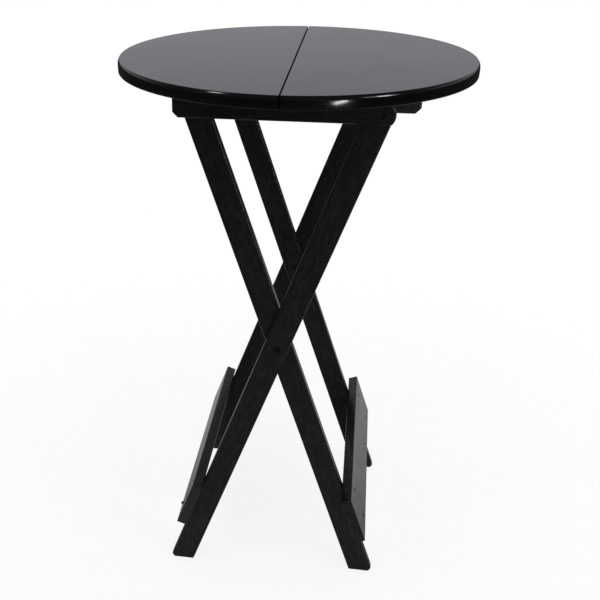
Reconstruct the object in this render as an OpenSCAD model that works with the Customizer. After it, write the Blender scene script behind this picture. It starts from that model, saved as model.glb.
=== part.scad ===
// Folding bar table: a round top in two halves on two crossed pairs of legs.
// The left half's rails turn on the outer legs and the right half's rails on the inner legs,
// so closing the legs slides the two halves apart over each other's rails.
// X runs left to right across the seam, Y from front to back, Z up. The floor is at Z = 0.

/* [Top] */
// Height of the top's upper face above the floor
table_h = 1090; // [980:5:1180]
// Diameter of the round top
top_d = 700; // [660:5:800]
// Thickness of the top
top_t = 26; // [22:1:32]
// Rounding of the top's rim
rim_round = 3; // [1:0.5:6]
// Gap between the two halves where they meet
seam_gap = 2; // [1:0.1:3]
// Rounding of the two edges along the seam
seam_round = 1.5; // [0.5:0.25:3]

/* [Legs] */
// Lean of each leg from upright, in degrees
lean = 19.6; // [16:0.1:23]
// Height above the floor where the middle lines of the legs cross
cross_h = 564; // [500:2:620]
// Distance of the legs' pivot below that crossing, which keeps the folded legs clear of the foot boards
centre_drop = 7; // [0:0.5:10]
// Width of a leg across its front face
leg_w = 49; // [40:1:52]
// Thickness of a leg
leg_t = 20; // [18:1:24]
// Distance from front to back over the outer legs
frame_depth = 462; // [400:2:480]
// Length of the bevel on a foot's sharp outer corner, along the floor and along the leg
foot_bevel = 8; // [2:0.5:12]
// Bevel on a foot's blunt inner corner
foot_ease = 1; // [0.5:0.5:3]
// Rounding of the edges of legs and rails
edge_round = 3; // [0.5:0.5:4]

/* [Rails] */
// Height of the left half's rails
outer_rail_h = 42; // [40:1:60]
// Height of the right half's rails
inner_rail_h = 36; // [36:1:60]
// Thickness of the rails
rail_t = 20; // [18:1:24]
// Distance that an outer rail's far corner stays inside the rim
outer_rail_inset = 28.5; // [20:0.5:40]
// Distance that an inner rail's far corner stays inside the rim
inner_rail_inset = 45.5; // [20:0.5:60]
// Bevel on the lower corner of a rail's far end
rail_bevel = 11; // [4:0.5:14]

/* [Foot boards] */
// Length of a foot board from front to back
plank_l = 530; // [490:5:600]
// Width of a foot board along the legs
plank_w = 107; // [90:1:140]
// Thickness of a foot board
plank_t = 22; // [18:1:28]
// Distance along the leg from the floor to a foot board's lower edge
plank_rise = 119; // [90:1:180]
// Rounding of a foot board's edges
plank_round = 2; // [1:0.5:8]

/* [Pivots] */
// Gap between two pieces of wood that turn against each other
joint_gap = 1; // [0.8:0.1:2]
// Outer diameter of the washers in those gaps
washer_d = 20; // [16:0.5:22]
// Diameter of the flat heads of bolts and sleeves
head_d = 13; // [11:0.5:15]
// Thickness of those heads
head_h = 2; // [1.5:0.1:2.5]
// Depth of the heads' outer faces below the wood
head_sink = 3; // [0.5:0.1:4]
// Outer diameter of the sleeves that the wood turns on
sleeve_d = 8; // [7.5:0.1:9]
// Diameter of the bolts
bolt_d = 6; // [5:0.1:6.5]
// Length of a bolt's shank
bolt_l = 18; // [12:1:24]
// Width across the flats of the key sockets
socket_w = 4; // [3:0.1:5]

/* [Wood screws] */
// Diameter of the countersunk heads
screw_head_d = 9.5; // [7:0.5:10]
// Diameter of the shanks
screw_d = 4.5; // [3.5:0.1:5]
// Length of the screws that hold the foot boards
plank_screw_l = 50; // [40:1:60]
// Distance between the two screws of a foot board at one leg
plank_screw_gap = 69; // [40:1:80]
// Depth of the screw heads' faces below the outer board's face
outer_screw_sink = 0.2; // [0:0.1:3]
// Height that the lower ones of those screws, not driven home, stand out of that face
outer_screw_rise = 4; // [0:0.5:6]
// Depth of the screw heads' faces below the inner board's face
inner_screw_sink = 1.5; // [0:0.1:3]
// Length of the screws that hold the top to its rails
rail_screw_l = 50; // [44:1:50]
// Depth that those screws go into the top
rail_screw_bite = 16; // [14:1:18]
// Distance from the seam and from a rail's end to the nearest screw
rail_screw_margin = 30; // [20:1:40]
// Number of screws in each rail
rail_screws_each = 3; // [2:1:4]

/* [Hidden] */

$fa = 3;
$fs = 0.4;

// Clearances
run_fit = 0.06; // round a sleeve where wood turns on it
snug_fit = 0.02; // round fasteners that stay put in their wood
end_play = 0.3; // under the head that turns against its wood
slide_gap = 0.3; // between a half top and the other half's rails
swing_gap = 0.5; // between the rounded leg tops and the top above them
washer_play = 0.1; // beside a washer
washer_fit = 0.2; // between a washer and its sleeve
head_fit = 0.3; // round the heads in their recesses
driver_room = 1; // round the heads of the rail screws, in their deep recesses
thread_room = 2; // past the end of a bolt in its sleeve
point_d = 0.4; // width of a screw's very point
eps = 0.01; // overshoot of cuts

lacquer = [0.07, 0.07, 0.07];
brass = [0.72, 0.6, 0.33];
steel = [0.6, 0.6, 0.62];
dark_steel = [0.16, 0.16, 0.17];

// Heights of the legs' own pivot, of the top's underside and of the pivots under it
centre_z = cross_h - centre_drop;
under_z = table_h - top_t;
pivot_drop = leg_w / 2 + swing_gap;
pivot_z = under_z - pivot_drop;
// Distance along a leg from its crossing to its top pivot and to the floor, and across to the top pivot
arm_l = (pivot_z - cross_h) / cos(lean);
shin_l = cross_h / cos(lean);
pivot_x = arm_l * sin(lean);
foot_x = shin_l * sin(lean);
// Half of a foot's width on the floor
foot_half = leg_w / 2 / cos(lean);

// Distances of each layer's faces from the middle plane, from the outside in
outer_leg_y = frame_depth / 2;
outer_rail_y = outer_leg_y + joint_gap + rail_t;
inner_leg_y = outer_leg_y - leg_t - joint_gap;
inner_rail_y = inner_leg_y - leg_t - joint_gap;

// Far ends of the rails, kept inside the round rim
function far_end(inset, face_y) = sqrt(pow(top_d / 2 - inset, 2) - pow(face_y, 2));
outer_rail_x = far_end(outer_rail_inset, outer_rail_y);
inner_rail_x = far_end(inner_rail_inset, inner_rail_y);

// Depth of the recesses for heads, and the sleeve's length between the two heads
head_recess = head_h + head_sink;
function sleeve_l(stack) = stack - 2 * head_recess + end_play;
rail_stack = rail_t + joint_gap + leg_t;
leg_stack = 2 * leg_t + joint_gap;
sleeve_socket_depth = 0.75 * head_h;

// Middle of a foot board along the leg, below the crossing
plank_mid = plank_rise + plank_w / 2 - shin_l;
screw_head_h = (screw_head_d - screw_d) / 2;
rail_screw_grip = rail_screw_l - rail_screw_bite;
// Depths of the lower and upper screws in the outer and the inner foot board
outer_sinks = [-outer_screw_rise, outer_screw_sink];
inner_sinks = [inner_screw_sink, inner_screw_sink];

// A bar's section from [0, 0] to [w, t], with all four corners rounded
module rounded_section(w, t, r) {
    translate([r, 0]) square([w - 2 * r, t]);
    translate([0, r]) square([w, t - 2 * r]);
    for (x = [r, w - r], y = [r, t - r])
        translate([x, y]) circle(r);
}

// A board with all edges rounded, centred in X and Y and standing on Z = 0
module rounded_board(l, w, t, r) {
    intersection() {
        translate([-l / 2, -w / 2, 0]) linear_extrude(t) rounded_section(l, w, r);
        translate([-l / 2, w / 2, 0]) rotate([90, 0, 0]) linear_extrude(w) rounded_section(l, t, r);
        translate([-l / 2, -w / 2, 0]) rotate([90, 0, 90]) linear_extrude(l) rounded_section(w, t, r);
    }
}

// Cuts a bevel of this width off a square corner along Y at the origin
module bevel_cut(w, l) {
    rotate([0, 45, 0]) cube([w * sqrt(2), l, w * sqrt(2)], center = true);
}

// Puts the front piece at the back as well
module front_and_rear() {
    children();
    mirror([0, 1, 0]) children();
}

// Places children on the outer pair of legs: Z runs up the leg from the crossing, X across it
module on_outer_legs() {
    translate([0, 0, cross_h]) rotate([0, lean, 0]) children();
}

// Axis from a front face at face_y towards the back
module along_y(face_y) {
    translate([0, -face_y, 0]) rotate([-90, 0, 0]) children();
}

// Fasteners

// A countersunk screw with its head's face at Z = 0 and its point downwards; grow widens it for its hole
module screw_form(l, grow = 0) {
    tip_h = 2 * screw_d;
    translate([0, 0, -screw_head_h])
        cylinder(h = screw_head_h, d1 = screw_d + 2 * grow, d2 = screw_head_d + 2 * grow);
    translate([0, 0, tip_h - l])
        cylinder(h = l - tip_h - screw_head_h, d = screw_d + 2 * grow);
    translate([0, 0, -l])
        cylinder(h = tip_h, d1 = point_d + 2 * grow, d2 = screw_d + 2 * grow);
}

module wood_screw(l) {
    cross_l = 0.6 * screw_head_d;
    cross_w = 0.14 * screw_head_d;
    cross_depth = 0.8 * screw_head_h;
    difference() {
        screw_form(l);
        for (turn = [0, 90])
            rotate(turn) cube([cross_l, cross_w, 2 * cross_depth], center = true);
    }
}

// Hexagonal key socket, cut from Z = 0 downwards
module socket(depth) {
    translate([0, 0, -depth]) cylinder(h = depth + eps, d = socket_w / cos(30), $fn = 6);
}

// Bolt with its head's inner face at Z = 0 and its shank along +Z
module pivot_bolt() {
    socket_depth = sleeve_socket_depth + socket_w / 2;
    difference() {
        union() {
            translate([0, 0, -head_h]) cylinder(h = head_h, d = head_d);
            cylinder(h = bolt_l, d = bolt_d);
        }
        translate([0, 0, -head_h]) mirror([0, 0, 1]) socket(socket_depth);
    }
}

// Sleeve nut with its head's inner face at Z = 0 and its barrel along -Z, open at the far end
module pivot_sleeve(barrel_l) {
    difference() {
        union() {
            cylinder(h = head_h, d = head_d);
            translate([0, 0, -barrel_l]) cylinder(h = barrel_l, d = sleeve_d);
        }
        translate([0, 0, -barrel_l - eps])
            cylinder(h = bolt_l + thread_room + eps, d = bolt_d + 2 * snug_fit);
        translate([0, 0, head_h]) socket(sleeve_socket_depth);
    }
}

module washer() {
    difference() {
        cylinder(h = joint_gap - washer_play, d = washer_d);
        translate([0, 0, -eps]) cylinder(h = joint_gap + 2 * eps, d = sleeve_d + 2 * washer_fit);
    }
}

// Recess for a head, from Z = 0 into the wood along +Z, and the bore behind it
module head_and_bore(wood_t, fit) {
    translate([0, 0, -eps]) cylinder(h = head_recess + eps, d = head_d + 2 * head_fit);
    translate([0, 0, -eps]) cylinder(h = wood_t + 2 * eps, d = sleeve_d + 2 * fit);
}

// Wood

// Blank of a front leg on the outer pair: straight bar, round top, foot cut level with eased corners
module leg_blank(face_y) {
    bar_l = arm_l + shin_l + leg_w;
    difference() {
        on_outer_legs() translate([-leg_w / 2, -face_y, arm_l - bar_l]) intersection() {
            linear_extrude(bar_l + leg_w) rounded_section(leg_w, leg_t, edge_round);
            union() {
                cube([leg_w, leg_t, bar_l]);
                translate([leg_w / 2, 0, bar_l]) rotate([-90, 0, 0]) rounded_disc(leg_w / 2, leg_t);
            }
        }
        translate([-foot_x, -face_y + leg_t / 2, -2 * leg_w])
            cube([4 * leg_w, 2 * leg_t, 4 * leg_w], center = true);
        translate([-foot_x + foot_half, -face_y + leg_t / 2, 0])
            bevel_cut(foot_ease, 2 * leg_t);
        translate([-foot_x - foot_half, -face_y + leg_t / 2, 0])
            sharp_corner_cut(foot_bevel, 2 * leg_t);
    }
}

// Cuts a bevel of this length off the sharp corner between the floor and a leg that leans to the right
module sharp_corner_cut(w, l) {
    half_angle = (90 - lean) / 2;
    rotate([0, -half_angle, 0]) translate([w * cos(half_angle) - w, 0, 0])
        cube([2 * w, l, 4 * w], center = true);
}

// Disc on Z = 0 with the same rounded edges as the bars, for their round ends
module rounded_disc(r, t) {
    rotate_extrude()
        intersection() {
            translate([-r, 0]) rounded_section(2 * r, t, edge_round);
            square([r, t]);
        }
}

// Places of a foot board's lower and upper screw, pointing into the leg whose middle is at mid_y
module plank_screw_places(mid_y, sinks) {
    for (i = [0, 1])
        translate([sinks[i] - leg_w / 2 - plank_t, mid_y, plank_mid + (i - 0.5) * plank_screw_gap])
            rotate([0, -90, 0]) children();
}

module outer_leg() {
    difference() {
        leg_blank(outer_leg_y);
        translate([0, 0, centre_z]) along_y(outer_leg_y) head_and_bore(leg_t, snug_fit);
        translate([pivot_x, 0, pivot_z])
            mirror([0, 1, 0]) along_y(leg_t - outer_leg_y) head_and_bore(leg_t, snug_fit);
        on_outer_legs() plank_screw_places(-outer_leg_y + leg_t / 2, outer_sinks)
            screw_form(plank_screw_l, snug_fit);
    }
}

module inner_leg() {
    mirror([1, 0, 0]) difference() {
        leg_blank(inner_leg_y);
        translate([0, 0, centre_z])
            mirror([0, 1, 0]) along_y(leg_t - inner_leg_y) head_and_bore(leg_t, run_fit);
        translate([pivot_x, 0, pivot_z]) along_y(inner_leg_y) head_and_bore(leg_t, snug_fit);
        on_outer_legs() plank_screw_places(-inner_leg_y + leg_t / 2, inner_sinks)
            screw_form(plank_screw_l, snug_fit);
    }
}

// Foot board on the outer pair of legs, with screws sunk into it at legs whose middles are at mid_y
module plank(mid_y, sinks) {
    difference() {
        on_outer_legs() translate([-leg_w / 2, 0, plank_mid]) rotate([0, -90, 0]) rotate([0, 0, 90])
            rounded_board(plank_l, plank_w, plank_t, plank_round);
        on_outer_legs() front_and_rear() plank_screw_places(-mid_y, sinks) {
            screw_form(plank_screw_l, snug_fit);
            cylinder(h = plank_t, d = screw_head_d + 2 * snug_fit);
        }
    }
}

module plank_screws(mid_y, sinks) {
    on_outer_legs() front_and_rear() plank_screw_places(-mid_y, sinks) wood_screw(plank_screw_l);
}

// Places of a rail's screws, from the seam to its far end on the left
module rail_screw_places(far_x, rail_y) {
    pitch = (far_x - 2 * rail_screw_margin) / (rail_screws_each - 1);
    for (i = [0 : rail_screws_each - 1])
        translate([-rail_screw_margin - i * pitch, -rail_y + rail_t / 2, under_z - rail_screw_grip])
            mirror([0, 0, 1]) children();
}

// Front rail of the left half: far_x to the left, its pivot end round to the right
module rail(far_x, rail_y, h) {
    total_l = far_x + pivot_x + pivot_drop;
    straight_l = far_x + pivot_x + edge_round;
    difference() {
        intersection() {
            translate([-far_x, -rail_y, under_z - h])
                rotate([90, 0, 90]) linear_extrude(total_l) rail_section(h);
            union() {
                translate([-far_x, -rail_y, under_z - h])
                    linear_extrude(h) rounded_section(straight_l, rail_t, edge_round);
                translate([pivot_x, -rail_y, pivot_z])
                    rotate([-90, 0, 0]) rounded_disc(pivot_drop, rail_t);
            }
        }
        translate([-far_x, -rail_y + rail_t / 2, under_z - h])
            bevel_cut(rail_bevel, 2 * rail_t);
        translate([0, -rail_y - rail_t / 2, under_z - slide_gap])
            cube([total_l, 2 * rail_t, 2 * slide_gap]);
        rail_screw_places(far_x, rail_y) {
            screw_form(rail_screw_l, snug_fit);
            cylinder(h = h, d = screw_head_d + 2 * driver_room);
        }
    }
}

// Section of a rail, with its lower corners rounded and its upper ones square against the top
module rail_section(h) {
    translate([edge_round, 0]) square([rail_t - 2 * edge_round, h]);
    translate([0, edge_round]) square([rail_t, h - edge_round]);
    for (x = [edge_round, rail_t - edge_round])
        translate([x, edge_round]) circle(edge_round);
}

module outer_rail() {
    difference() {
        rail(outer_rail_x, outer_rail_y, outer_rail_h);
        translate([pivot_x, 0, pivot_z]) along_y(outer_rail_y) head_and_bore(rail_t, run_fit);
    }
}

module inner_rail() {
    mirror([1, 0, 0]) difference() {
        rail(inner_rail_x, inner_rail_y, inner_rail_h);
        translate([pivot_x, 0, pivot_z])
            mirror([0, 1, 0]) along_y(rail_t - inner_rail_y) head_and_bore(rail_t, run_fit);
    }
}

// Left half of the top, with the pilot holes for its rail's screws
module half_top(far_x, rail_y) {
    difference() {
        translate([0, 0, under_z]) intersection() {
            rotate_extrude() rim_section();
            translate([0, top_d, 0]) rotate([90, 0, 0]) linear_extrude(2 * top_d) seam_section();
        }
        front_and_rear() rail_screw_places(far_x, rail_y) screw_form(rail_screw_l, snug_fit);
    }
}

// Section of the whole disc from its centre to its rounded rim
module rim_section() {
    square([top_d / 2 - rim_round, top_t]);
    translate([0, rim_round]) square([top_d / 2, top_t - 2 * rim_round]);
    for (y = [rim_round, top_t - rim_round])
        translate([top_d / 2 - rim_round, y]) circle(rim_round);
}

// Section across the seam: everything left of it, with the two seam edges rounded
module seam_section() {
    edge_x = -seam_gap / 2;
    translate([-top_d, -top_t]) square([top_d + edge_x - seam_round, 3 * top_t]);
    translate([-top_d, seam_round]) square([top_d + edge_x, top_t - 2 * seam_round]);
    for (y = [seam_round, top_t - seam_round])
        translate([edge_x - seam_round, y]) circle(seam_round);
}

// Nodes

module top_left_half() {
    color(lacquer) half_top(outer_rail_x, outer_rail_y);
}

module top_right_half() {
    color(lacquer) mirror([1, 0, 0]) half_top(inner_rail_x, inner_rail_y);
}

module outer_rail_front() {
    color(lacquer) outer_rail();
}

module outer_rail_rear() {
    color(lacquer) mirror([0, 1, 0]) outer_rail();
}

module inner_rail_front() {
    color(lacquer) inner_rail();
}

module inner_rail_rear() {
    color(lacquer) mirror([0, 1, 0]) inner_rail();
}

module outer_leg_front() {
    color(lacquer) outer_leg();
}

module outer_leg_rear() {
    color(lacquer) mirror([0, 1, 0]) outer_leg();
}

module inner_leg_front() {
    color(lacquer) inner_leg();
}

module inner_leg_rear() {
    color(lacquer) mirror([0, 1, 0]) inner_leg();
}

module outer_plank() {
    color(lacquer) plank(outer_leg_y - leg_t / 2, outer_sinks);
}

module inner_plank() {
    color(lacquer) mirror([1, 0, 0]) plank(inner_leg_y - leg_t / 2, inner_sinks);
}

module outer_plank_screws() {
    color(brass) plank_screws(outer_leg_y - leg_t / 2, outer_sinks);
}

module inner_plank_screws() {
    color(dark_steel) mirror([1, 0, 0]) plank_screws(inner_leg_y - leg_t / 2, inner_sinks);
}

module outer_rail_screws() {
    color(steel) front_and_rear() rail_screw_places(outer_rail_x, outer_rail_y) wood_screw(rail_screw_l);
}

module inner_rail_screws() {
    color(steel) mirror([1, 0, 0]) front_and_rear()
        rail_screw_places(inner_rail_x, inner_rail_y) wood_screw(rail_screw_l);
}

// At the crossing the bolt's head seats in the outer leg, and the inner leg turns on the sleeve
module centre_bolts() {
    color(dark_steel) front_and_rear() translate([0, 0, centre_z])
        along_y(outer_leg_y - head_recess) pivot_bolt();
}

module centre_sleeves() {
    color(dark_steel) front_and_rear() translate([0, 0, centre_z])
        along_y(outer_leg_y - head_recess - sleeve_l(leg_stack)) pivot_sleeve(sleeve_l(leg_stack));
}

module centre_washers() {
    color(steel) front_and_rear() translate([0, 0, centre_z]) along_y(outer_leg_y - leg_t) washer();
}

// Under the right of the top: the outer rail turns on a sleeve whose head seats in the outer leg
module outer_top_bolts() {
    color(dark_steel) front_and_rear() translate([pivot_x, 0, pivot_z])
        along_y(outer_leg_y - leg_t + head_recess + sleeve_l(rail_stack)) pivot_bolt();
}

module outer_top_sleeves() {
    color(dark_steel) front_and_rear() translate([pivot_x, 0, pivot_z])
        along_y(outer_leg_y - leg_t + head_recess) pivot_sleeve(sleeve_l(rail_stack));
}

module outer_top_washers() {
    color(steel) front_and_rear() translate([pivot_x, 0, pivot_z])
        along_y(outer_leg_y + joint_gap - washer_play) washer();
}

// Under the left of the top: the inner rail turns on a sleeve whose head seats in the inner leg
module inner_top_bolts() {
    color(dark_steel) front_and_rear() translate([-pivot_x, 0, pivot_z])
        mirror([0, 1, 0]) along_y(head_recess + sleeve_l(rail_stack) - inner_leg_y) pivot_bolt();
}

module inner_top_sleeves() {
    color(dark_steel) front_and_rear() translate([-pivot_x, 0, pivot_z])
        mirror([0, 1, 0]) along_y(head_recess - inner_leg_y) pivot_sleeve(sleeve_l(rail_stack));
}

module inner_top_washers() {
    color(steel) front_and_rear() translate([-pivot_x, 0, pivot_z])
        along_y(inner_leg_y - leg_t) washer();
}

top_left_half();
top_right_half();
outer_rail_front();
outer_rail_rear();
inner_rail_front();
inner_rail_rear();
outer_leg_front();
outer_leg_rear();
inner_leg_front();
inner_leg_rear();
outer_plank();
inner_plank();
outer_plank_screws();
inner_plank_screws();
outer_rail_screws();
inner_rail_screws();
centre_bolts();
centre_sleeves();
centre_washers();
outer_top_bolts();
outer_top_sleeves();
outer_top_washers();
inner_top_bolts();
inner_top_sleeves();
inner_top_washers();
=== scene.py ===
import math

import bpy
from mathutils import Matrix, Quaternion, Vector


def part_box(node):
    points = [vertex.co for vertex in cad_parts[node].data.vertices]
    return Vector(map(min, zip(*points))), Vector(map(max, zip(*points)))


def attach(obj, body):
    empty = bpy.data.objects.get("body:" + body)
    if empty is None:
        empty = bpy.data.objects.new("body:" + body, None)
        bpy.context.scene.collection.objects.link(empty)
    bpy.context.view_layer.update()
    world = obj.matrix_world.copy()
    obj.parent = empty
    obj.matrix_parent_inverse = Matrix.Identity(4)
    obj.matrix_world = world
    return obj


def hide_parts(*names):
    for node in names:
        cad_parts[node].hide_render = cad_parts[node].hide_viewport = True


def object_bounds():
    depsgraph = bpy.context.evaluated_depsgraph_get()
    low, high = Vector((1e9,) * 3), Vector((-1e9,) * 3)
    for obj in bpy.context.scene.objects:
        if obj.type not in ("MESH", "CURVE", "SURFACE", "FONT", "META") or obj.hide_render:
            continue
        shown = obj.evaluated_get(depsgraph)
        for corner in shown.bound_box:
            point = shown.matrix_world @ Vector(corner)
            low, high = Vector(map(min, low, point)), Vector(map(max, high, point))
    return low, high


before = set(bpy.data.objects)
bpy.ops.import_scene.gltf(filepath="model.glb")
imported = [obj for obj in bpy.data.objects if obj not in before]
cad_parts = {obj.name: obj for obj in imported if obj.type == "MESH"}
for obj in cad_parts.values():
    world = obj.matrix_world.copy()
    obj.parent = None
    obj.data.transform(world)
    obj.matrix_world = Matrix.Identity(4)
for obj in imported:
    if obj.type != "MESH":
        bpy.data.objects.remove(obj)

CAD_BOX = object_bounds()
CAD_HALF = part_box("top_left_half")

# Lean of the legs from upright
LEAN = math.radians(19.6)

# The two halves of the top, in metres: at the rim they are a little thinner than in the middle
RIM_MARGIN = 0.00005           # the rim drawn here stays this far inside the CAD model's
TOP_RADIUS = round(CAD_BOX[1][1], 5) - RIM_MARGIN
TOP_HEIGHT = round(CAD_BOX[1][2], 5)
TOP_THICK = round(TOP_HEIGHT - CAD_HALF[0][2], 5)
SEAM_HALF = round(-CAD_HALF[1][0], 5)  # from the middle of the table to the face of each half
SEAM_ARRIS = 0.0015            # radius of the edges along the seam
RIM_THICK = 0.024
RIM_BULGE = 0.0005             # how far the middle of the rim's face stands out
UNDERCUT = 0.012               # how far in from the rim the underside is level
UPPER_ARRIS = 0.0015           # radii of the rim's edges
LOWER_ARRIS = 0.0015
ARC_STEPS = 192
ARRIS_STEPS = 6

# A softer rounding follows the rim's upper edge: its radius, and the slant and depth at which it starts
SHOULDER = 0.012
SHOULDER_SLANT = math.radians(35)
SHOULDER_START = UPPER_ARRIS * (1 - math.sin(SHOULDER_SLANT))

# How far the left board's lower screws stand out in the CAD model, and how far where driven home
SCREW_RISE = 0.004
SCREW_HOME = 0.0001

# Photograph and camera; lengths in metres, angles in radians
PHOTO_SIDE = 600               # side of the square picture, in pixels
FOCAL = 932.95                 # focal length, in pixels
LENS_POINT = (203.26, 316.01)  # where the lens axis meets the picture, in pixels from its upper left
EYE = Vector((0.1358, -1.8714, 1.4433))
YAW, PITCH, ROLL = 0.1717, 0.4593, -0.0067
SENSOR = 36.0                  # width of the sensor, in millimetres

# Turns that bring each direction of grain onto Z
GRAIN_UP_RIGHT = (0, LEAN, 0)
GRAIN_UP_LEFT = (0, -LEAN, 0)
GRAIN_ALONG_X = (0, math.pi / 2, 0)
GRAIN_ALONG_Y = (-math.pi / 2, 0, 0)

# Noises of the lacquer on legs, rails and boards: spots to a metre, layers of detail and how rough they
# are, and how far the spots are drawn out along the grain
PORES = {"scale": 900, "detail": 3, "roughness": 0.6, "stretch": 30}
STREAKS = {"scale": 120, "detail": 4, "roughness": 0.55, "stretch": 14}
PATCHES = {"scale": 14, "detail": 3, "stretch": 2.5}
MOTTLE = {"scale": 170, "detail": 3, "roughness": 0.65, "stretch": 4}

# Values of each noise between which its effect sets in, with the grey off and on the streaks, and what
# patches and pores add to the roughness
STREAK_FADE = (0.35, 0.7)
STREAK_GREY = (0.0018, 0.0035)
BLOOM_FADE = (0.45, 0.7)
GLOSS_FADE = (0.35, 0.65)
PATCH_FADE = (0.3, 0.7)
PATCH_ROUGH = 0.06
PORE_FADE = (0.4, 0.7)
PORE_ROUGH = 0.04
PORE_RELIEF = 0.35             # as a share of the streaks' relief

# The boards show more of their grain than the legs and rails
BOARD_GRAIN = {"relief": 0.9, "depth": 0.0006, "rough": 0.2}

# The top's lacquer, in the same terms
WAVES = {"scale": 45, "stretch": 3}
PEEL = {"scale": 420}
PEEL_RELIEF = 0.12             # as a share of the waves' relief
CLOUDS = {"scale": 9, "detail": 3}
CLOUD_FADE = (0.3, 0.7)
CLOUD_COLOURS = ((0.0014, 0.0014, 0.0016, 1), (0.0024, 0.0024, 0.0027, 1))
CLOUD_ROUGH = (0.1, 0.14)
FACE_DEPTHS = (0.0001, 0.00002)  # between these depths the rim's relief gives way to the face's
RIM_RELIEF = 0.06
FACE_RELIEF = 0.35
WAVE_DEPTH = 0.0006
FULL_GLOSS = 0.5
SEAM_GLOSS = 0.1
SEAM_DULL = (0.0014, 0.0022)   # the gloss rises from the seam's to full this far from the seam's middle
FOOT_GLOSS = 0.2
FOOT_DULL = 0.0026             # and from the lower edge's to full this far above that edge

# Plated and blackened metal: fine scratches, and stains that are darker and rougher
SCRATCHES = {"scale": 2500}
SCRATCH_RELIEF = 0.4
SCRATCH_DEPTH = 0.00004
STAINS = {"scale": 600, "detail": 3}
STAIN_FADE = (0.35, 0.65)
STAIN_SHADE = 0.7
STAIN_ROUGH_FADE = (0.3, 0.7)
STAIN_ROUGH = 0.15

# Finish of each CAD piece, by the start of its name; the first line that fits holds
FINISHES = (
    ("outer_leg", "up_right"),
    ("inner_leg", "up_left"),
    ("outer_rail_screws", "zinc"),
    ("inner_rail_screws", "zinc"),
    ("outer_rail", "along_x"),
    # the inner rail's lacquer is painted a paler grey all over than the outer rail's
    ("inner_rail", "pale_rail"),
    ("outer_plank_screws", "brass"),
    ("inner_plank_screws", "dark"),
    ("outer_plank", "left_board"),
    ("inner_plank", "right_board"),
    ("top_left_half", "top"),
    ("top_right_half", "top"),
)

# Floor and plain light
FLOOR_RADIUS = 14.0
FLOOR_SIDES = 96
FLOOR_GREY = 0.6               # the pale floor, as it lights the table from below
SHADOW_GREY = 0.95             # the same floor where the camera sees the table's shadow on it
SHADOW_SHARE = 0.2             # how much of that light and shade the camera sees
SHADOW_FADE = (0.56, 1.6)      # between these distances from the table the floor turns plain white
ROOM_LEVEL = 0.85              # plain light from all round

# What the lacquer mirrors, as greys: the floor, from front to back in metres, is dim far from the table,
# behind it on the left, and right under it, where it holds a painted shadow of the table
MIRRORED_FLOOR = ((-2.6, 0.08), (-1.2, 0.18), (-0.5, 0.21), (0.1, 0.42), (0.6, 0.5), (1.5, 0.45))
FAR_GREY = 0.03
FAR_FADE = (2.6, 3.8)
REAR_LEFT_GREY = 0.1
REAR_LEFT_X = (-0.5, 0.2)
REAR_LEFT_Y = (0.6, 1.2)
UNDER_SHADOW_SHARE = 0.3
UNDER_SHADOW_FADE = (0.15, 0.42)

# The pale backdrop behind the table goes by the sine of the height that it is mirrored at. It is a little
# brighter on its left and gives way to a dim room in front, by the X and Y of the mirrored direction.
MIRRORED_BACKDROP = ((0.04, 0.05), (0.12, 0.5), (0.27, 0.505), (0.42, 0.16), (0.7, 0.3), (1.0, 0.35))
BACKDROP_TINT = (1.0, 0.985, 1.07, 1)
BACKDROP_LEFT = 1.07
BACKDROP_X = (-0.4, 0.2)
FRONT_GREY = 0.08
FRONT_TO_BACK = (-0.2, 0.4)

# The point that the lamps are aimed at
LAMP_TARGET = Vector((0, 0, 0.8))


def grey(value):
    return (value, value, value, 1)


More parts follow.
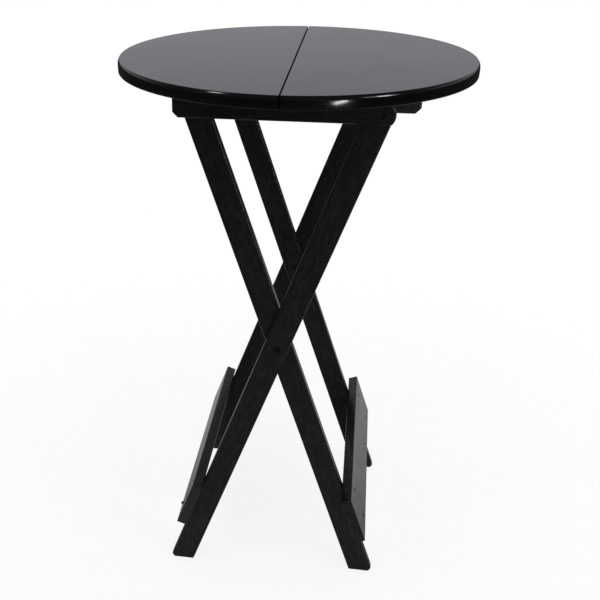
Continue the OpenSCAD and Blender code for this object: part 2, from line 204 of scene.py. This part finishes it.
class Tree:
    """Adds and links shader nodes in one material or world."""

    def __init__(self, owner):
        owner.use_nodes = True
        self.tree = owner.node_tree
        self.tree.nodes.clear()

    def add(self, kind, inputs=None, **settings):
        node = self.tree.nodes.new(kind)
        for name, value in settings.items():
            setattr(node, name, value)
        for key, value in (inputs or {}).items():
            self.put(node, key, value)
        return node

    def put(self, node, key, value):
        """A socket as value is linked, and anything else is set on the input."""
        if isinstance(value, bpy.types.NodeSocket):
            self.tree.links.new(value, node.inputs[key])
        else:
            node.inputs[key].default_value = value

    def maths(self, operation, a, b=0.0):
        return self.add("ShaderNodeMath", {0: a, 1: b}, operation=operation).outputs[0]

    def fade(self, value, low, high, to_low=0, to_high=1):
        """Smooth change from to_low to to_high as value goes from low to high."""
        return self.add("ShaderNodeMapRange", {"Value": value, "From Min": low, "From Max": high,
                                               "To Min": to_low, "To Max": to_high},
                        interpolation_type="SMOOTHSTEP").outputs["Result"]

    def steps(self, value, stops):
        """Grey that goes through each (value, grey) pair in turn."""
        low, high = stops[0][0], stops[-1][0]
        share = self.add("ShaderNodeMapRange", {"Value": value, "From Min": low, "From Max": high})
        ramp = self.add("ShaderNodeValToRGB", {"Fac": share.outputs["Result"]})
        points = ramp.color_ramp.elements
        while len(points) < len(stops):
            points.new(0.5)
        for point, (at, shade) in zip(points, stops):
            point.position = (at - low) / (high - low)
            point.color = grey(shade)
        return ramp.outputs["Color"]

    def mix(self, share, first, second, blend_type="MIX"):
        """Colour between two colours, or what else blend_type makes of them."""
        return self.add("ShaderNodeMixRGB", {"Fac": share, "Color1": first, "Color2": second},
                        blend_type=blend_type).outputs["Color"]

    def between(self, share, first, second):
        """Shader between two shaders."""
        return self.add("ShaderNodeMixShader", {0: share, 1: first, 2: second}).outputs[0]

    def place(self):
        """The object's own coordinates."""
        return self.add("ShaderNodeTexCoord").outputs["Object"]

    def noise(self, scale, detail=2, roughness=0.5, stretch=1, turn=None):
        """Noise that keeps its place on the object, drawn out along the grain that turn brings onto Z."""
        place = self.place()
        if turn:
            place = self.add("ShaderNodeMapping", {"Vector": place, "Rotation": turn,
                                                   "Scale": (1, 1, stretch)},
                             vector_type="TEXTURE").outputs["Vector"]
        return self.add("ShaderNodeTexNoise", {"Vector": place, "Scale": scale, "Detail": detail,
                                               "Roughness": roughness}).outputs["Fac"]

    def relief(self, strength, depth, height):
        """Normal of a surface with this height map."""
        return self.add("ShaderNodeBump", {"Strength": strength, "Distance": depth,
                                           "Height": height}).outputs["Normal"]

    def surface(self, inputs):
        """Ends a material's tree with a Principled shader that has these inputs."""
        shader = self.add("ShaderNodeBsdfPrincipled", inputs)
        self.add("ShaderNodeOutputMaterial", {"Surface": shader.outputs["BSDF"]})

    def mirror_rays(self, rays):
        """One for the rays that a shiny or clear surface sends out, and zero for the rest."""
        return self.maths("MAXIMUM", rays["Is Glossy Ray"], rays["Is Transmission Ray"])


def frame_lacquer(name, turn, haze=0.0, bloom=0.005, gloss=(0.42, 0.58),
                  rough=0.26, relief=0.25, depth=0.00025):
    """Thin satin black lacquer, through which the grain of the wood stands out faintly. Haze is its grey
    all over, and bloom that of paler spots. Relief and depth are the grain's strength and height."""
    material = bpy.data.materials.new(name)
    t = Tree(material)
    pores = t.noise(**PORES, turn=turn)
    streaks = t.noise(**STREAKS, turn=turn)
    patches = t.noise(**PATCHES, turn=turn)
    mottle = t.noise(**MOTTLE, turn=turn)
    plain, streaked = (grey(shade + haze) for shade in STREAK_GREY)
    colour = t.mix(t.fade(streaks, *STREAK_FADE), plain, streaked)
    height = t.maths("ADD", t.maths("MULTIPLY", pores, PORE_RELIEF), streaks)
    t.surface({
        "Base Color": t.mix(t.fade(mottle, *BLOOM_FADE), colour, grey(haze + bloom)),
        "Roughness": t.maths("ADD", t.fade(patches, *PATCH_FADE, rough, rough + PATCH_ROUGH),
                             t.fade(pores, *PORE_FADE, 0, PORE_ROUGH)),
        "Specular IOR Level": t.fade(mottle, *GLOSS_FADE, *gloss),
        "Normal": t.relief(relief, depth, height)})
    return material


def top_lacquer(name):
    """Thick glossy black lacquer, a little wavy on the face, as brushed paint dries, and dull in the seam
    and along the rim's lower edge."""
    material = bpy.data.materials.new(name)
    t = Tree(material)
    x, _, z = t.add("ShaderNodeSeparateXYZ", {0: t.place()}).outputs
    waves = t.noise(**WAVES, turn=GRAIN_ALONG_Y)
    peel = t.noise(**PEEL)
    clouds = t.noise(**CLOUDS)
    height = t.maths("ADD", waves, t.maths("MULTIPLY", peel, PEEL_RELIEF))
    strength = t.fade(z, TOP_HEIGHT - FACE_DEPTHS[0], TOP_HEIGHT - FACE_DEPTHS[1], RIM_RELIEF, FACE_RELIEF)
    rim_foot = TOP_HEIGHT - RIM_THICK
    by_seam = t.fade(t.maths("ABSOLUTE", x), *SEAM_DULL, SEAM_GLOSS, FULL_GLOSS)
    by_foot = t.fade(z, rim_foot, rim_foot + FOOT_DULL, FOOT_GLOSS, FULL_GLOSS)
    t.surface({
        "Base Color": t.mix(t.fade(clouds, *CLOUD_FADE), *CLOUD_COLOURS),
        "Roughness": t.fade(clouds, *CLOUD_FADE, *CLOUD_ROUGH),
        "Specular IOR Level": t.maths("MINIMUM", by_seam, by_foot),
        "Normal": t.relief(strength, WAVE_DEPTH, height)})
    return material


def metal(name, colour, metallic, roughness):
    """Turned metal with fine scratches and small stains."""
    material = bpy.data.materials.new(name)
    t = Tree(material)
    stains = t.noise(**STAINS)
    darker = [STAIN_SHADE * c for c in colour]
    t.surface({
        "Base Color": t.mix(t.fade(stains, *STAIN_FADE), (*darker, 1), (*colour, 1)),
        "Metallic": metallic,
        "Roughness": t.fade(stains, *STAIN_ROUGH_FADE, roughness, roughness + STAIN_ROUGH),
        "Normal": t.relief(SCRATCH_RELIEF, SCRATCH_DEPTH, t.noise(**SCRATCHES))})
    return material


def make_finishes():
    """Every material of the table, by the name of its finish."""
    return {
        "up_right": frame_lacquer("frame_lacquer_up_right", GRAIN_UP_RIGHT),
        "up_left": frame_lacquer("frame_lacquer_up_left", GRAIN_UP_LEFT),
        "along_x": frame_lacquer("frame_lacquer_along_x", GRAIN_ALONG_X),
        # The inner rail's lacquer is painted a paler grey all over than the outer rail's
        "pale_rail": frame_lacquer("frame_lacquer_pale_rail", GRAIN_ALONG_X, haze=0.009),
        "left_board": frame_lacquer("frame_lacquer_left_board", GRAIN_ALONG_Y,
                                    haze=0.009, bloom=0.006, **BOARD_GRAIN),
        "right_board": frame_lacquer("frame_lacquer_right_board", GRAIN_ALONG_Y,
                                     haze=0.001, bloom=0.007, gloss=(0.36, 0.72), **BOARD_GRAIN),
        "top": top_lacquer("top_lacquer"),
        "brass": metal("brass_plated", colour=(0.42, 0.37, 0.24), metallic=1.0, roughness=0.35),
        "zinc": metal("zinc_steel", colour=(0.5, 0.5, 0.52), metallic=1.0, roughness=0.35),
        "dark": metal("dark_steel", colour=(0.008, 0.008, 0.008), metallic=0.4, roughness=0.5),
    }


def paint_nodes(finishes):
    """Gives every CAD piece its material: washers are zinc plated, and bolts and sleeves dark."""
    for name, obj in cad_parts.items():
        bare = "zinc" if name.endswith("washers") else "dark"
        kind = next((finish for start, finish in FINISHES if name.startswith(start)), bare)
        obj.data.materials.clear()
        obj.data.materials.append(finishes[kind])


def add_object(name, data):
    obj = bpy.data.objects.new(name, data)
    bpy.context.scene.collection.objects.link(obj)
    return obj


def arris(beyond, radius):
    """Inset and slant of a rounded edge, at a distance beyond where its rounding starts."""
    share = max(0, min(1, beyond / radius))
    return radius * (1 - math.sqrt(1 - share * share)), math.asin(share)


def seam_edge(depth):
    """Inset of the seam's face, and slant of its normal, at a depth below the table's top."""
    above, up = arris(SEAM_ARRIS - depth, SEAM_ARRIS)
    below, down = arris(depth - TOP_THICK + SEAM_ARRIS, SEAM_ARRIS)
    return above + below, up - down


def rim(depth):
    """The same for the rim: its edge, shoulder, slight bulge, and slope in to the level underside."""
    if depth < SHOULDER_START:
        slant = math.asin(1 - depth / UPPER_ARRIS)
        inset = SHOULDER * (1 - math.cos(SHOULDER_SLANT))
        inset += UPPER_ARRIS * (math.cos(SHOULDER_SLANT) - math.cos(slant))
    else:
        slant = math.asin(max(0, math.sin(SHOULDER_SLANT) - (depth - SHOULDER_START) / SHOULDER))
        inset = SHOULDER * (1 - math.cos(slant))
    below, down = arris(depth - RIM_THICK + LOWER_ARRIS, LOWER_ARRIS)
    # The bulge is a parabola over the level, which runs from -1 at the top of the rim to 1 at its foot
    level = 2 * min(depth, RIM_THICK) / RIM_THICK - 1
    inset += below + RIM_BULGE * level * level
    slant -= down + math.atan(4 * RIM_BULGE * level / RIM_THICK)
    share = max(0, depth - RIM_THICK) / (TOP_THICK - RIM_THICK)
    return inset + share * (UNDERCUT - inset), max(-math.pi / 2, min(math.pi / 2, slant))


def level_depths():
    """Depths at which the top's section is drawn, close together where it turns."""
    shares = [i / ARRIS_STEPS for i in range(ARRIS_STEPS + 1)]
    shoulder_foot = SHOULDER_START + SHOULDER * math.sin(SHOULDER_SLANT)
    depths = [RIM_THICK * share for share in shares]
    depths += [shoulder_foot - SHOULDER * math.sin(SHOULDER_SLANT * share) for share in shares]
    for share in shares:
        turned = 1 - math.cos(math.pi / 2 * share)
        depths += [SHOULDER_START * turned, RIM_THICK - LOWER_ARRIS * turned]
        depths += [SEAM_ARRIS * turned, TOP_THICK - SEAM_ARRIS * turned]
    return sorted({round(depth, 6) for depth in depths})


def outward(away, slant):
    """Unit vector that points away at one angle in plan, and up by another."""
    return (math.cos(slant) * math.cos(away), math.cos(slant) * math.sin(away), math.sin(slant))


def half_top(name, turn, material):
    """Half of the round top, drawn level by level from below; turn is 0 for the right half and pi for the
    left. Each level is an arc, closed along the seam."""
    depths = level_depths()
    width = ARC_STEPS + 1
    points, slants = [], []
    for depth in reversed(depths):
        inset, rim_slant = rim(depth)
        seam_inset, seam_slant = seam_edge(depth)
        radius = TOP_RADIUS - inset
        reach = math.acos((SEAM_HALF + seam_inset) / radius)
        slants.append((rim_slant, seam_slant))
        for i in range(width):
            a = turn + reach * (2 * i / ARC_STEPS - 1)
            points.append((radius * math.cos(a), radius * math.sin(a), TOP_HEIGHT - depth))
    faces = []
    for k in range(len(depths) - 1):
        low, high = k * width, (k + 1) * width
        for i in range(width):
            j = (i + 1) % width
            faces.append((low + i, low + j, high + j, high + i))
    highest = (len(depths) - 1) * width
    faces += [tuple(range(highest, highest + width)), tuple(range(width - 1, -1, -1))]
    mesh = bpy.data.meshes.new(name)
    mesh.from_pydata(points, [], faces)
    # Between two levels lie ARC_STEPS faces of the rim and one of the seam; the last two faces are level
    normals = []
    for number, face in enumerate(mesh.polygons):
        face.use_smooth = True
        on_seam = number % width == ARC_STEPS
        for corner in face.vertices:
            rim_slant, seam_slant = slants[corner // width]
            if len(face.vertices) == width:
                normals.append(face.normal[:])
            elif on_seam:
                normals.append(outward(turn + math.pi, seam_slant))
            else:
                x, y, _ = points[corner]
                normals.append(outward(math.atan2(y, x), rim_slant))
    mesh.normals_split_custom_set(normals)
    mesh.materials.append(material)
    return add_object(name, mesh)


def make_top(material):
    """Both halves again, with the rim as the photograph shows it."""
    left = half_top("left_half", math.pi, material)
    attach(left, "left_top")
    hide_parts("top_left_half")
    right = half_top("right_half", 0, material)
    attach(right, "right_top")
    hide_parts("top_right_half")


def make_screws(material):
    """The left board's screws again, with the rear lower one driven home: in the photograph only the front
    lower one stands out."""
    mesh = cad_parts["outer_plank_screws"].data.copy()
    along = Vector((math.sin(LEAN), 0, math.cos(LEAN)))
    inwards = Vector((math.cos(LEAN), 0, -math.sin(LEAN)))
    middle = sum(v.co.dot(along) for v in mesh.vertices) / len(mesh.vertices)
    for v in mesh.vertices:
        if v.co.y > 0 and v.co.dot(along) < middle:
            v.co += (SCREW_RISE - SCREW_HOME) * inwards
    mesh.materials.clear()
    mesh.materials.append(material)
    screws = add_object("left_board_screws", mesh)
    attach(screws, "outer_frame")
    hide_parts("outer_plank_screws")


def make_world():
    """White to the camera, a pale backdrop in a dim room to the lacquer, and plain light to the rest."""
    world = bpy.data.worlds.new("room")
    t = Tree(world)
    rays = t.add("ShaderNodeLightPath").outputs
    direction = t.add("ShaderNodeTexCoord").outputs["Generated"]
    x, y, z = t.add("ShaderNodeSeparateXYZ", {0: direction}).outputs
    backdrop = t.mix(1.0, t.steps(z, MIRRORED_BACKDROP), BACKDROP_TINT, blend_type="MULTIPLY")
    mirrored = t.mix(t.fade(y, *FRONT_TO_BACK), grey(FRONT_GREY), backdrop)
    level = t.fade(x, *BACKDROP_X, BACKDROP_LEFT, 1)
    plain = t.add("ShaderNodeBackground", {"Color": grey(1), "Strength": ROOM_LEVEL}).outputs[0]
    room = t.add("ShaderNodeBackground", {"Color": mirrored, "Strength": level}).outputs[0]
    white = t.add("ShaderNodeBackground", {"Color": grey(1), "Strength": 1}).outputs[0]
    unseen = t.between(t.mirror_rays(rays), plain, room)
    t.add("ShaderNodeOutputWorld", {"Surface": t.between(rays["Is Camera Ray"], unseen, white)})
    bpy.context.scene.world = world


def floor_material(name):
    """Near white with a soft shadow to the camera, a floor that is brighter behind the table to the
    lacquer, and plain pale to the rest."""
    material = bpy.data.materials.new(name)
    t = Tree(material)
    rays = t.add("ShaderNodeLightPath").outputs
    place = t.place()
    x, y, _ = t.add("ShaderNodeSeparateXYZ", {0: place}).outputs
    distance = t.add("ShaderNodeVectorMath", {0: place}, operation="LENGTH").outputs["Value"]
    rear_left = t.maths("MULTIPLY", t.fade(x, *REAR_LEFT_X, 1, 0), t.fade(y, *REAR_LEFT_Y))
    lit = t.mix(rear_left, t.steps(y, MIRRORED_FLOOR), grey(REAR_LEFT_GREY))
    lit = t.mix(t.fade(distance, *FAR_FADE), lit, grey(FAR_GREY))
    # Painted shadow of the table on the floor that the lacquer mirrors: darker right under the table
    under = t.fade(distance, *UNDER_SHADOW_FADE, UNDER_SHADOW_SHARE, 1)
    mirrored = t.add("ShaderNodeEmission", {"Color": lit, "Strength": under}).outputs[0]
    plain = t.add("ShaderNodeBsdfDiffuse", {"Color": grey(FLOOR_GREY)}).outputs[0]
    shaded = t.add("ShaderNodeBsdfDiffuse", {"Color": grey(SHADOW_GREY)}).outputs[0]
    white = t.add("ShaderNodeEmission", {"Color": grey(1), "Strength": 1}).outputs[0]
    seen = t.between(t.fade(distance, *SHADOW_FADE, 1 - SHADOW_SHARE, 1), shaded, white)
    unseen = t.between(t.mirror_rays(rays), plain, mirrored)
    t.add("ShaderNodeOutputMaterial", {"Surface": t.between(rays["Is Camera Ray"], unseen, seen)})
    return material


def make_floor():
    """A large disc that the table stands on."""
    mesh = bpy.data.meshes.new("floor")
    turns = [2 * math.pi * i / FLOOR_SIDES for i in range(FLOOR_SIDES)]
    ring = [(FLOOR_RADIUS * math.cos(a), FLOOR_RADIUS * math.sin(a), 0) for a in turns]
    mesh.from_pydata(ring, [], [tuple(range(FLOOR_SIDES))])
    mesh.materials.append(floor_material("pale_floor"))
    add_object("floor", mesh)


def make_lamp(name, azimuth, elevation, distance, sides, power, turn=0):
    """A soft light aimed at the table. Azimuth is from the front towards the right, turn lifts the right
    side, and angles are in degrees."""
    a, e = math.radians(azimuth), math.radians(elevation)
    away = Vector((math.sin(a) * math.cos(e), -math.cos(a) * math.cos(e), math.sin(e)))
    light = bpy.data.lights.new(name, "AREA")
    light.shape = "RECTANGLE"
    light.size, light.size_y = sides
    light.energy = power
    lamp = add_object(name, light)
    lamp.location = LAMP_TARGET + distance * away
    aim = away.to_track_quat("Z", "Y") @ Quaternion((0, 0, 1), math.radians(turn))
    lamp.rotation_euler = aim.to_euler()


def make_lamps():
    """Two windows, a lamp beside the right one, and a low lamp that the rim mirrors."""
    make_lamp("right_window", azimuth=54, elevation=19, distance=3.0, sides=(1.05, 0.7), power=5)
    make_lamp("right_lamp", azimuth=56, elevation=19, distance=2.9, sides=(0.4, 0.6), power=9)
    make_lamp("left_window", azimuth=-48, elevation=40, distance=3.0, sides=(0.3, 0.5), power=7)
    make_lamp("low_lamp", azimuth=30, elevation=-5.5, distance=3.0, sides=(0.42, 0.13), power=5, turn=28)


def make_camera():
    """The photograph's viewpoint; yaw turns to the left, and pitch down."""
    forward = Vector((-math.sin(YAW) * math.cos(PITCH), math.cos(YAW) * math.cos(PITCH), -math.sin(PITCH)))
    level = Vector((math.cos(YAW), math.sin(YAW), 0))
    upright = level.cross(forward)
    right = math.cos(ROLL) * level + math.sin(ROLL) * upright
    up = math.cos(ROLL) * upright - math.sin(ROLL) * level
    data = bpy.data.cameras.new("camera")
    data.sensor_width = SENSOR
    data.lens = FOCAL / PHOTO_SIDE * SENSOR
    data.shift_x = 0.5 - LENS_POINT[0] / PHOTO_SIDE
    data.shift_y = LENS_POINT[1] / PHOTO_SIDE - 0.5
    camera = add_object("camera", data)
    turn = Matrix((right, up, -forward)).transposed().to_4x4()
    camera.matrix_world = Matrix.Translation(EYE) @ turn
    bpy.context.scene.camera = camera


finishes = make_finishes()
make_top(finishes["top"])
make_screws(finishes["brass"])
paint_nodes(finishes)
make_world()
make_floor()
make_lamps()
make_camera()
bpy.context.scene.view_settings.view_transform = "Standard"
